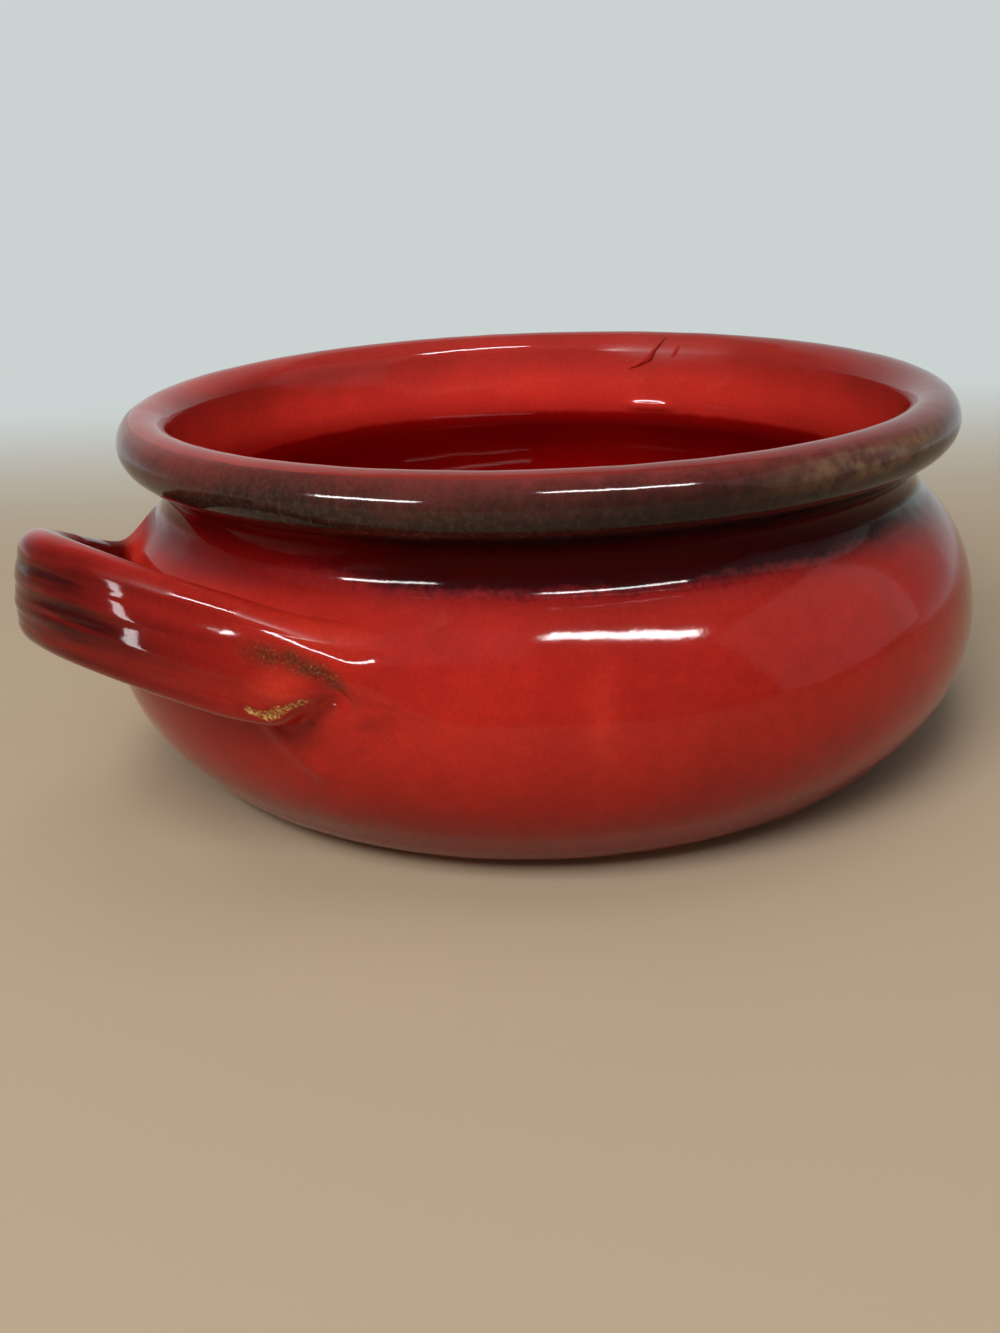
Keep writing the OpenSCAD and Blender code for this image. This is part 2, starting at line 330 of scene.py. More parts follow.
def clayLine(bellyR, bellyZ, bellyLowR, shoulderR, flank, heelR, wall, floorT, floorCornerR, rollR,
             rollCentreR, rollZ, neckEase, glazeT, dryFoot, darkTop, arcGrain, lineStep):
    # the clay's outline from the dry foot over the rim to the middle of the floor: arcs that
    # touch each other, with straight runs between, and the two places where one coat ends
    def arc(centre, radius, start, end):
        steps = max(2, int(abs(end - start) * radius / arcGrain))
        angle = np.radians(np.linspace(start, end, steps))
        return np.stack([centre[0] + radius * np.cos(angle), centre[1] + radius * np.sin(angle)], 1)

    def unit(angle):
        return np.array([cos(radians(angle)), sin(radians(angle))])

    def angleOf(v):
        return degrees(atan2(v[1], v[0]))

    lowC = np.array([bellyR - bellyLowR, bellyZ])
    highC = np.array([bellyR - shoulderR, bellyZ])
    rollC = np.array([rollCentreR, rollZ])
    # the neck's hollow touches the shoulder and the roll
    span = np.linalg.norm(rollC - highC)
    neckR = (span - shoulderR - rollR) / 2 + neckEase
    reachLow, reachHigh = shoulderR + neckR, rollR + neckR
    along = (span ** 2 + reachLow ** 2 - reachHigh ** 2) / (2 * span)
    toward = (rollC - highC) / span
    square = np.array([toward[1], -toward[0]])
    neckC = highC + along * toward + sqrt(reachLow ** 2 - along ** 2) * square
    neckLow, neckHigh = angleOf(neckC - highC), angleOf(rollC - neckC)
    # heel and inside corner touch the flank
    lean = tan(radians(flank))

    def touching(start, radius, base):
        z = base + radius * (1 - sin(radians(flank)))
        return np.array([start[0] + lean * (z - start[1]) - radius * unit(flank)[0], base + radius])

    heelC = touching(lowC + bellyLowR * unit(-flank), heelR, 0)
    cornerC = touching(lowC + (bellyLowR - wall) * unit(-flank), floorCornerR, floorT)
    inward = acos((neckR + wall - rollR) / np.linalg.norm(rollC - neckC))
    throat = neckHigh + degrees(inward)
    footAngle = -degrees(asin((heelR - dryFoot) / (heelR + glazeT)))
    darkLow = degrees(asin((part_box("rim_glaze")[0].z / mm - bellyZ) / shoulderR))
    stretches = [
        np.vstack([arc(heelC, heelR, footAngle, -flank), arc(lowC, bellyLowR, -flank, 0),
                   arc(highC, shoulderR, 0, darkLow)]),
        np.vstack([arc(highC, shoulderR, darkLow, neckLow), arc(neckC, neckR, 180 + neckLow, neckHigh),
                   arc(rollC, rollR, neckHigh - 180, darkTop)]),
        np.vstack([arc(rollC, rollR, darkTop, throat),
                   arc(neckC, neckR + wall, throat, 180 + neckLow),
                   arc(highC, shoulderR - wall, neckLow, 0),
                   arc(lowC, bellyLowR - wall, 0, -flank),
                   arc(cornerC, floorCornerR, -flank, -90), [[0, floorT]]])]
    whole = np.vstack(stretches)
    gap = np.linalg.norm(np.diff(whole, axis=0), axis=1)
    keep = np.append(True, gap > 1e-6)  # arcs share their end points
    run = np.append(0, np.cumsum(gap))
    ends = np.cumsum([len(s) for s in stretches]) - 1
    bellyRun = run[np.argmin(np.abs(whole[:ends[0], 1] - bellyZ))]
    neckRun = run[ends[0]] + radians(neckLow - darkLow) * shoulderR
    even = np.arange(0, run[-1], lineStep)
    line = np.stack([np.interp(even, run[keep], whole[keep, k]) for k in (0, 1)], 1)
    slope = np.gradient(line, axis=0)
    normal = unitOf(np.stack([slope[:, 1], -slope[:, 0]], 1))
    return dict(run=even, line=line, normal=normal, dark=run[ends[0]], top=run[ends[1]], end=even[-1],
                belly=bellyRun, neck=neckRun, lowC=lowC, highC=highC)


clay = clayLine(**bowl)

# Throwing rings, a slow wobble and small swells in the glaze: sines along the wall and round it
swells = dict(
    seed=11, count=36, shortest=7, longest=40, height=0.00168,
    wobble=0.14, wobbleWaves=((0.6, 2, 0.7, 0), (0.4, 3, 2.1, 0.01)),  # share, waves round, phase, drift
    rings=0.006, ringPitch=6.4, ringBend=(1.4, 0.045),  # mm high and apart; bend and its pitch
    ringFade=(0.55, 0.45, 0.11, 2), plain=(12, 22))  # level, swing, pitch, waves; no rings on the roll


def makeSwells(w):
    # height, turns per mm up the wall, waves round it and phase of each swell
    rng = np.random.default_rng(w["seed"])
    wave = np.exp(rng.uniform(log(w["shortest"]), log(w["longest"]), w["count"]))
    slant = rng.uniform(0, pi, w["count"])
    around = np.round(2 * pi * bowl["bellyR"] / wave * np.cos(slant))  # whole waves, so the ring closes
    phase = rng.uniform(0, 2 * pi, w["count"])
    return list(zip(w["height"] * wave / w["shortest"], 2 * pi / wave * np.sin(slant), around, phase))


swellList = makeSwells(swells)


# Roots: what the potter's thumb left where each strap was pressed on. Places are mm from the middle
# of the root, first away from the loop, then up the wall
roots = dict(
    angle=29, drop=19.8,
    places=((29, 1, 0.7), (-29, -1, 0.55), (151, -1, 0.8), (-151, 1, 1)),  # angle, sense, strength
    groove=((-28, 3.8), (-19.3, 2.8), (-14.4, 2.8), (-8.6, 1.2), (-2.8, -1.5), (6, -5.5)),
    grooveDeep=0.6, grooveWide=2.2, grooveSpan=(-26, -19, -7, 0),
    lump=(-15.5, -5.2, 4.4, 3.1, 1.7), dent=(-9, -19, 7, 4, -0.5),  # place, spread, height
    tear=((-21.5, -7.3), (-20.1, -8.4), (-18.2, -8.9), (-16.3, -8.2), (-14.2, -7), (-12.6, -6.4),
          (-11.1, -5.4)),
    tearDeep=0.8, tearWide=(0.38, 0.5, -17.4, 2.8),  # ends, more in the middle, its place and spread
    ridge=((-28, -12.5), (-24.2, -16.3), (-20.4, -19.4), (-13.2, -24.9)), ridgeHigh=0.8, ridgeWide=2.2,
    lip=((-24, 6.6), (-17.6, 5.4), (-11, 4), (-4.7, 2.3), (3, 0.8)),
    lipHigh=0.7, lipWide=3.6, lipSpan=(-26, -18, -4, 6),
    gleam=(-37, -35, -26.5, -24.5),  # stretch of the upper edge that hands left glossy
    # where the lower half of the strap stops: place, slant below a height, soft ends, and its upper border
    cut=dict(place=-10, slant=1.2, below=-4, soft=6, stop=(4, 10), wide=3.5, flare=0.5,
             flareFrom=-8))
wallR = 127  # mm, radius that turns an angle into a length on the shoulder


def rootPlaces(run, turn):
    # place of a wall point from the middle of each root, with the root's strength
    for angle, sense, strength in roots["places"]:
        yield sense * angleOff(turn, angle) * wallR, run - clay["neck"] + roots["drop"], strength


def pathGap(a, b, path):
    # least distance from a polyline
    gap = np.full(np.shape(a), 1e3)
    for (a0, b0), (a1, b1) in zip(path[:-1], path[1:]):
        da, db = a1 - a0, b1 - b0
        share = np.clip(((a - a0) * da + (b - b0) * db) / (da ** 2 + db ** 2), 0, 1)
        gap = np.minimum(gap, np.hypot(a - a0 - share * da, b - b0 - share * db))
    return gap


def grooveShare(a, b):
    # 1 on the line of the thumb groove, fading to both ends
    return bump(pathGap(a, b, roots["groove"]), roots["grooveWide"]) * softSpan(a, *roots["grooveSpan"])


def tearShare(a, b):
    # 1 in the tear, wider in its middle
    thin, more, at, spread = roots["tearWide"]
    return bump(pathGap(a, b, roots["tear"]), thin + more * bump(a - at, spread))


def pressed(run, turn):
    # relief of all roots, mm: groove and tear sink, lump, lip and trailing ridge stand up
    out = 0
    for a, b, strength in rootPlaces(run, turn):
        relief = -roots["grooveDeep"] * grooveShare(a, b)
        for at, up, wide, tall, high in (roots["lump"], roots["dent"]):
            relief = relief + high * bump(a - at, wide) * bump(b - up, tall)
        relief = relief + roots["ridgeHigh"] * bump(pathGap(a, b, roots["ridge"]), roots["ridgeWide"])
        lip = softSpan(a, *roots["lipSpan"]) * bump(pathGap(a, b, roots["lip"]), roots["lipWide"])
        relief = relief + roots["lipHigh"] * lip
        if strength == 1:  # one root tore a little in firing
            relief = relief - roots["tearDeep"] * tearShare(a, b)
        out = out + strength * relief
    return out


def cutAway(run, turn):
    # share of the strap's height taken off past the end of its lower half
    c = roots["cut"]
    line = np.array(roots["groove"]).T
    out = 0
    for a, b, strength in rootPlaces(run, turn):
        under = np.interp(a, line[0], line[1]) - b
        end = c["place"] + c["slant"] * np.minimum(b - c["below"], 0)
        share = smooth((a - end) / c["soft"]) * smooth((c["stop"][0] - a) / c["stop"][1])
        border = c["wide"] + c["flare"] * np.maximum(a - c["flareFrom"], 0)
        out = out + strength * share * smooth(under / border)
    return out


# Coats: steps round and along the wall in mm, the rounded lower edge, the least thickness, and the bead of
# glaze on the throat (angle, mm past the top, spreads, mm high)
coat = dict(
    around=480, outsideStep=0.9, rimStep=0.6, insideStep=1.4, backStep=5, footBead=1.4, least=0.08,
    throatBead=(22.6, 33.4, 5, 1.8, 1.1))


def lift(run, turn):
    # how far the glaze face stands off the clay, mm
    run, turn = np.broadcast_arrays(run, turn)
    w = swells
    out = np.full(run.shape, bowl["glazeT"])
    for share, waves, phase, drift in w["wobbleWaves"]:
        out = out + w["wobble"] * share * np.sin(waves * turn + phase + drift * run)
    (bend, bendPitch), (before, spread) = w["ringBend"], w["plain"]
    level, swing, pitch, waves = w["ringFade"]
    ring = np.sin(2 * pi / w["ringPitch"] * run + turn + bend * np.sin(bendPitch * run))
    thrown = 1 - bump(run - clay["top"] + before, spread)
    out = out + w["rings"] * thrown * ring * (level + swing * np.sin(pitch * run + waves * turn))
    for high, up, around, phase in swellList:
        out = out + high * np.sin(up * run + around * turn + phase)
    at, deep, wide, tall, high = coat["throatBead"]
    bead = spot(turn, at, wide, 4) * bump(run - clay["top"] - deep, tall)
    return out + high * bead + pressed(run, turn)


def outlineAt(run):
    # radius and height of the clay's outline, and the two parts of its normal
    return [np.interp(run, clay["run"], values) for values in (*clay["line"].T, *clay["normal"].T)]


def onWall(run, turn, height):
    # point of the wall at a distance along its outline and an angle round it, raised off the clay
    r, z, outR, outZ = outlineAt(run)
    return spun(r + height * outR, turn, z + height * outZ)


def glazeFace(run, turn):
    bead = np.clip(run / coat["footBead"], 0, 1)  # the lower edge rounds off in a bead
    return onWall(run, turn, np.maximum(coat["least"], lift(run, turn) * np.sqrt(1 - (1 - bead) ** 2)))


def faceNormals(run, turn, step=0.3, swing=0.003):
    # cross product of the slopes along and round the wall, over small steps in mm and radians
    ahead, behind = (glazeFace(np.clip(run + d, 0, clay["end"]), turn) for d in (step, -step))
    side = glazeFace(run, turn + swing) - glazeFace(run, turn - swing)
    normal = np.cross(side, ahead - behind)
    return normal / np.maximum(np.linalg.norm(normal, axis=-1), 1e-9)[..., None]


# Painted marks of the coats, with angles and their spreads in degrees and the rest in mm
fringe = dict(  # where the dark rim glaze gives way to red, above the foot of the neck
    rise=2.6, sway=((1, 0.9, 2.4), (2, 0.6, 0.4), (5, 0.35, 1.9)),  # waves round, size, phase
    tongue=(-163, 10, 4))  # angle, spread, rise
veil = dict(at=171.5, wide=32, span=(-6, 1.5, 18, 26), share=0.85)  # side of the neck where the glazes mix
ochreSpots = ((-95, 5.4, 9, 0.9), (-81, 4.8, 7, 0.6), (60, 8, 14, 0.6), (140, 9, 8, 0.5))
ochreTall = 3.2  # each spot: angle, mm below the coat's top, spread, strength
dullSpots = ((-114, 20), (15, 18), (95, 14))  # stretches of the roll that lack bronze: angle, spread
dullShare = 0.7
orangePatch = (-127, 55, 1.4, 13, 0.4)  # thin glaze on the belly: angle, mm up, spreads, strength
dryPatch = (17, 10, 14, 7)  # on the inner lip: angle, mm past the top, spreads
paintedSideLight = (118, 0.34)  # painted light on this side of the inside, painted shade opposite: angle, and by how much


def fringeRun(run, turn):
    edge = clay["neck"] + fringe["rise"]
    for waves, size, phase in fringe["sway"]:
        edge = edge + size * np.sin(waves * turn + phase)
    at, wide, high = fringe["tongue"]
    return run - edge - high * spot(turn, at, wide)


def veilShare(run, turn):
    side = spot(turn, veil["at"], veil["wide"], 6)
    return veil["share"] * side * softSpan(run - clay["neck"], *veil["span"])


def coatMarks(run, turn):
    depth = run - clay["top"]
    ochre = sum(size * bump(depth + up, ochreTall) * spot(turn, at, wide)
                for at, up, wide, size in ochreSpots)
    bronze = 1 - dullShare * sum(spot(turn, at, wide) for at, wide in dullSpots)
    at, up, wide, tall, size = orangePatch
    rosy = size * spot(turn, at, wide) * bump(run - up, tall)
    at, up, wide, tall = dryPatch
    dry = spot(turn, at, wide, 4) * bump(depth - up, tall)
    # painted light on one side of the inside and painted shade on the other
    pour = 1 + paintedSideLight[1] * np.cos(angleOff(turn, paintedSideLight[0]))
    return dict(run=fringeRun(run, turn), depth=depth, ochre=ochre, bronze=bronze + 0 * run, rosy=rosy,
                veil=veilShare(run, turn), dry=dry, pour=pour + 0 * run)


def coatPiece(name, node, low, high, step, material, closed=True):
    # the glaze face from low to high, and the clay side under it on fewer rows
    around = coat["around"]
    turn = np.linspace(-pi, pi, around, endpoint=False)[None, :]
    run, under = (np.linspace(start, end, max(4, round((high - low) / each) + 1))[:, None]
                  for start, end, each in ((low, high, step), (high, low, coat["backStep"])))
    if not closed:  # from a pole in the middle of the floor to the edge, and back on the clay side
        run, under = run[-2::-1], under[:0:-1]
    points = np.vstack([glazeFace(run, turn), onWall(under, turn, 0)]).reshape(-1, 3)
    outR, outZ = outlineAt(under)[2:]
    normals = np.vstack([faceNormals(run, turn), -spun(outR, turn, outZ)]).reshape(-1, 3)
    marks = coatMarks(np.vstack([run, under]) + 0 * turn, turn)
    count = len(run) + len(under)
    if closed:
        faces = gridFaces(count, around, closeRows=True), np.zeros((0, 3), int)
    else:
        faces = tubeFaces(count, around)
        points = np.vstack([points, [[0, 0, bowl["floorT"] + bowl["glazeT"]], [0, 0, bowl["floorT"]]]])
        normals = np.vstack([normals, [[0, 0, 1], [0, 0, -1]]])
    piece = shellPiece(name, points, *faces, material, marks, normals)
    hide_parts(node)


# Materials

def stopsOver(ramp, low, high):
    # places of a ramp in mm to shares of its span
    return [((place - low) / (high - low), colour) for place, colour in ramp]


def glazeTree(name, glaze):
    # shared start of both glazes: the painted mm along the wall with frayed edges, its colours, and its
    # noises by size in mm, detail, roughness and share in the brightness
    made, add, inMm = newMaterial(name)
    low, high, shift = glaze["low"], glaze["high"], sum(swing for *_, swing in glaze["ragged"]) / 2
    run = add("Attribute", out="Fac", attribute_name=glaze["key"])
    for size, detail, swing in glaze["ragged"]:
        noise = add("TexNoise", {"Vector": inMm, "Scale": 1 / size, "Detail": detail})
        run = add("Math", {0: noise, 1: swing, 2: run}, operation="MULTIPLY_ADD")
    span = add("MapRange", {0: run, 1: low + shift, 2: high + shift})
    colour = add("ValToRGB", {0: span}, stops=stopsOver(glaze["ramp"], low, high))
    noises, level = {}, glaze["level"]
    for key, (size, detail, rough, share) in glaze["noises"].items():
        inputs = {"Vector": inMm, "Scale": 1 / size, "Detail": detail, "Roughness": rough}
        noises[key] = add("TexNoise", inputs)
        if share:
            level = add("Math", {0: noises[key], 1: share, 2: level}, operation="MULTIPLY_ADD")
    painted = {key: add("Attribute", out="Fac", attribute_name=key) for key in glaze["painted"]}
    return made, add, inMm, colour, span, noises, level, painted


# Fired earthenware glaze, dipped: glossy, pooled and mottled red, breaking through a ragged
# purple fringe into a charcoal roll where bronze and ochre show; the eye reads a deep wet shine
outside = dict(
    key="run", low=-76, high=40, ragged=((1.7, 3, 4.5), (9, 2, 4)),  # mm, detail, swing in mm
    ramp=[
        (-75, "#7C1A11"), (-58, "#9C1E14"), (-40, "#B22318"), (-16, "#B2241A"), (-8, "#B0271E"),
        (-3.5, "#9A221F"), (-0.8, "#651418"), (0.6, "#36080B"), (4, "#3E0403"), (9, "#400403"),
        (14, "#220A08"), (17, "#211310"), (23, "#33211C"), (28, "#572822"), (33, "#74302B"),
        (38, "#96322A")],
    level=0.37, noises=dict(
        patches=(38, 2, 0.5, 0.5), mottle=(4.5, 3, 0.5, 0.35), grain=(0.9, 2, 0.5, 0.45),
        speck=(1.5, 4, 0.6, 0), gold=(0.7, 3, 0.5, 0), peel=(1.8, 2, 0.5, 0)),
    painted=("rosy", "veil", "along", "aside", "dusk", "bronze", "ochre", "thin", "bare", "worn"),
    # the rosy red also serves as painted light on the strap roots
    tones={key: hexColour(text) for key, text in dict(
        # the dark maroon also serves as painted shade on the straps' backs and far legs
        rosy="#D93A26", veil="#760E0C", dusk="#3E0706", dull="#150B08", speck="#594637", ochre="#8E6C48",
        pinhole="#D9A98E").items()},
    roll=[(12, "#000000"), (18, "#FFFFFF"), (26, "#FFFFFF"), (34, "#000000")],  # where bronze shows
    neckShine=[(-2, "#848484"), (4, "#383838"), (14, "#383838"), (19, "#848484")],  # 0.23 and 0.04
    thinTones=[(0.35, "#4A1C10"), (0.60, "#5E3820"), (0.68, "#7A5430"), (0.80, "#C8A070")],
    bareTones=[(0.32, "#4A1C0E"), (0.48, "#A8652E"), (0.58, "#C98C4C"), (0.70, "#E2B880")],
    streak=(40, 4.2), pinholes=(17, 0.75, 0.62))  # mm long and wide; mm apart and wide, and how few
# each range: from and to, what these become
outsideRanges = {key: dict(enumerate(ends, 1)) for key, ends in dict(
    streak=(0.3, 0.68, 0.62, 1.12), speck=(0.46, 0.72, 0, 0.45), dull=(1, 0.3, 0, 0.7),
    ochre=(0.35, 0.62, 0.1, 1), thin=(0.08, 0.60, 0, 0.9), bare=(0.20, 0.36, 0, 1),
    rough=(0.925, 0.965, 0.08, 0.26), rubbed=(0, 1, 1, 0.25)).items()}


def exteriorGlaze():
    made, add, inMm, colour, span, noises, level, painted = glazeTree("dipped_red_glaze", outside)
    tones, ranges = outside["tones"], outsideRanges
    low, high = outside["low"], outside["high"]
    # brighter and more orange where the glaze lies thin, painted light on the strap roots, a dark red veil
    # where both glazes ran together
    for key in ("rosy", "veil"):
        colour = add("Mix", {0: painted[key], 6: colour, 7: tones[key]}, out=2, data_type="RGBA")
    toned = add("HueSaturation", {"Value": level, "Color": colour})
    # straps: maroon glaze and painted shade, in streaks along the pull of the hand, from the painted length
    # and width
    pulled = add("CombineXYZ", {0: painted["along"], 1: painted["aside"]})
    drawn = (*(1 / size for size in outside["streak"]), 1)
    pulled = add("VectorMath", {0: pulled, 1: drawn}, operation="MULTIPLY")
    streak = add("TexNoise", {"Vector": pulled, "Scale": 1, "Detail": 2})
    streak = add("MapRange", {0: streak} | ranges["streak"])
    dusk = add("Math", {0: painted["dusk"], 1: streak}, operation="MULTIPLY", use_clamp=True)
    # roll: bronze in fine specks, ochre where a patch is painted
    roll = add("ValToRGB", {0: span}, stops=stopsOver(outside["roll"], low, high))
    speck, dull, ochre, rough, rubbed = (add("MapRange", {0: source} | ranges[key]) for key, source in (
        ("speck", noises["speck"]), ("dull", painted["bronze"]), ("ochre", noises["mottle"]),
        ("rough", span), ("rubbed", painted["worn"])))
    bronzed = add("Math", {0: roll, 1: painted["bronze"]}, operation="MULTIPLY")
    speck, dull, ochre = (add("Math", {0: share, 1: where}, operation="MULTIPLY") for share, where in (
        (speck, bronzed), (dull, roll), (ochre, painted["ochre"])))
    # thumb groove: the glaze ran thin over it, olive brown with gold grains; the tear is bare clay
    olive, clayTone = (add("ValToRGB", {0: noises["gold"]}, stops=outside[key])
                       for key in ("thinTones", "bareTones"))
    thin, bare = (add("Math", {0: painted[key], 1: noises[grain]}, operation="MULTIPLY")
                  for key, grain in (("thin", "mottle"), ("bare", "gold")))
    thin, bare = (add("MapRange", {0: share} | ranges[key])
                  for key, share in (("thin", thin), ("bare", bare)))
    # pinholes: pale dots in a few cells of a loose scatter
    apart, wide, few = outside["pinholes"]
    cells = add("TexVoronoi", {"Vector": inMm, "Scale": 1 / apart}).node.outputs
    near = wide / apart / 2
    hole = add("MapRange", {0: cells["Distance"], 1: 1.2 * near, 2: 0.8 * near})
    picked = add("Math", {0: cells["Color"], 1: few}, operation="GREATER_THAN")
    hole = add("Math", {0: hole, 1: picked}, operation="MULTIPLY")
    # first the straps' maroon glaze together with their painted shade
    for cover, tone in ((dusk, tones["dusk"]), (dull, tones["dull"]), (speck, tones["speck"]),
                        (ochre, tones["ochre"]), (thin, olive), (bare, clayTone), (hole, tones["pinhole"])):
        toned = add("Mix", {0: cover, 6: toned, 7: tone}, out=2, data_type="RGBA")
    # drier on top of the roll, on bare clay and where hands rub; a fine orange peel frays every shine
    for cover, more in ((bare, 0.5), (painted["worn"], 0.42)):
        rough = add("Math", {0: cover, 1: more, 2: rough}, operation="MULTIPLY_ADD")
    relief = add("Bump", {"Height": noises["peel"], "Strength": 0.10, "Distance": 0.0002})
    # the dark glaze of the neck reflects less than the red, and so does what hands rubbed
    shine = add("ValToRGB", {0: span}, stops=stopsOver(outside["neckShine"], low, high))
    shine = add("Math", {0: shine, 1: rubbed}, operation="MULTIPLY")
    face = add("BsdfPrincipled", {
        "Base Color": toned, "Roughness": rough, "IOR": 1.52, "Specular IOR Level": shine,
        "Normal": relief})
    add("OutputMaterial", {0: face})
    return made


# Poured glaze of the inside: the same red, painted light on the throat, a painted shadow edge just below
# it, and dark in the belly from pooled glaze and painted shade
inside = dict(
    key="depth", low=-2, high=200, ragged=((3, 2, 0.8), (22, 2, 2)),
    # by mm past the top: painted light on the throat, a sharp painted shadow edge below it, then pooled
    # glaze and painted shade
    ramp=[
        (-1, "#8C2E28"), (3, "#9A2F28"), (9, "#A82C24"), (15, "#BA3028"), (24, "#DC372B"),
        (35.2, "#DA342A"), (36.8, "#A80E0B"), (50, "#980706"), (110, "#900607"), (190, "#9C0708")],
    level=0.57, noises=dict(patches=(30, 2, 0.5, 0.5), grain=(1.2, 3, 0.5, 0.36)),
    painted=("pour", "dry"))


def interiorGlaze():
    made, add, _, colour, *_, level, painted = glazeTree("poured_red_glaze", inside)
    # painted light and shade: brighter on one side of the inside, darker on the other
    level = add("Math", {0: level, 1: painted["pour"]}, operation="MULTIPLY")
    toned = add("HueSaturation", {"Value": level, "Color": colour})
    rough = add("Math", {0: painted["dry"], 1: 0.45, 2: 0.07}, operation="MULTIPLY_ADD")
    face = add("BsdfPrincipled", {
        "Base Color": toned, "Roughness": rough, "IOR": 1.52, "Specular IOR Level": 0.23})
    add("OutputMaterial", {0: face})
    return made


def firedClay(name, dark, light):
    # bare terracotta, turned and fired: matt, sandy, with pale grog
    made, add, inMm = newMaterial(name)
    sand, broad = (add("TexNoise", {"Vector": inMm, "Scale": 1 / size, "Detail": detail})
                   for size, detail in ((0.8, 4), (18, 3)))
    both = add("Math", {0: sand, 1: broad}, operation="MULTIPLY")
    tone = add("ValToRGB", {0: both}, stops=[(0.12, dark), (0.42, light)])
    relief = add("Bump", {"Height": sand, "Strength": 0.5, "Distance": 0.0002})
    face = add("BsdfPrincipled", {"Base Color": tone, "Roughness": 0.85, "Normal": relief})
    add("OutputMaterial", {0: face})
    return made


outsideFinish, insideFinish = exteriorGlaze(), interiorGlaze()
terracotta = firedClay("fired_terracotta", "#9A4A2C", "#C98157")
slip = firedClay("fired_slip", "#7E3020", "#A85A3C")
for nodeName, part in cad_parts.items():
    if nodeName == "bowl" or nodeName.endswith("lute"):
        part.data.materials.clear()
        part.data.materials.append(terracotta if nodeName == "bowl" else slip)
print("glaze and clay materials made")

coatPiece("outside_coat", "outside_glaze", 0, clay["dark"], coat["outsideStep"], outsideFinish)
coatPiece("rim_coat", "rim_glaze", clay["dark"], clay["top"], coat["rimStep"], outsideFinish)
coatPiece("inside_coat", "inside_glaze", clay["top"], clay["end"], coat["insideStep"], insideFinish,
          closed=False)


# Handles: a strap section carried along a loop; each lengthwise line runs into the wall on a
# smooth skirt of smeared clay
strap = dict(
    loopRise=19, loopOut=26.8, leaveAngle=19.5, leaveLen=24.5, bendLen=27,
    width=28.8, flare=0.75, thick=12, lean=7, edgeR=5.6, crown=1.7, rootCrown=5.4,
    pinch=4.2, pinchOver=(0.05, 0.45), groove=0.3, ridges=4, fadeIn=0.5, tail=30, bury=2,
    wander=0.22, wanderWaves=(2.1, 0.6, 0.17, 0.4, 0.5),  # across and along: pitch, phase; then how deep
    pull=0.065, pullPitch=3.1, pullOver=(0.35, 0.75), pullSway=(1.2, 0.09), pullFade=(0.65, 0.35, 0.21, 3),
    faceLines=60, edgeLines=22, backLines=26, rows=84, skirtRows=24, tailSteps=120, curveSteps=801,
    meetBy=0.7, halvings=40)
smear = dict(
    top=(9, 11), tip=(12, 16), bottom=(2.5, 3), back=(4, 4),  # mm on the strap, on the wall
    edgeFrom=0.25, spread=5, blend=4, probe=0.4, reach=0.66, mergeFrom=7 / 12,
    rings=(0.25, 0.6, 0.92), sunk=1.4, poleSunk=1.2)


def strapLines(s):
    # the section as lengthwise lines: place across the face, reach round the edge, front (1) to back (-1)
    a = np.radians(90 - 180 * np.arange(1, s["edgeLines"] + 1) / (s["edgeLines"] + 1))
    face = np.linspace(-1, 1, s["faceLines"])
    back = np.linspace(1, -1, s["backLines"])
    across = np.hstack([face, np.ones(len(a)), back, -np.ones(len(a))])
    edge = np.hstack([0 * face, np.cos(a), 0 * back, -np.cos(a)])
    front = np.hstack([0 * face + 1, np.sin(a), 0 * back - 1, -np.sin(a)])
    return across, edge, front


across, edgeOut, front = strapLines(strap)
rootTilt = degrees((clay["neck"] - clay["belly"] - roots["drop"]) / bowl["shoulderR"])
rootZ = bowl["bellyZ"] + bowl["shoulderR"] * sin(radians(rootTilt))


def loopPlan(s):
    # plan of half the loop by length: a straight tail in the wall, then a cubic to the outermost point
    reach = clay["highC"][0] + bowl["shoulderR"] * cos(radians(rootTilt)) - s["bury"]
    turn, away = radians(roots["angle"]), radians(roots["angle"] - 90 + s["leaveAngle"])
    leave = np.array([cos(away), sin(away)])
    p0 = reach * np.array([cos(turn), sin(turn)])
    p1 = p0 + s["leaveLen"] * leave
    p3 = np.array([bowl["bellyR"] + s["loopOut"], 0])
    p2 = p3 + np.array([0, s["bendLen"]])
    u = np.linspace(0, 1, s["curveSteps"])[:, None]
    before = np.linspace(-1, 0, s["tailSteps"] + 1)[:-1, None]
    curve = np.vstack([p0 + s["tail"] * before * leave, cubic(u, p0, p1, p2, p3)])
    slope = unitOf(np.gradient(curve, axis=0))
    length = np.append(0, np.cumsum(np.linalg.norm(np.diff(curve, axis=0), axis=1))) - s["tail"]
    return dict(u=np.vstack([before, u])[:, 0], curve=curve, slope=slope, length=length, half=length[-1])


loop = loopPlan(strap)


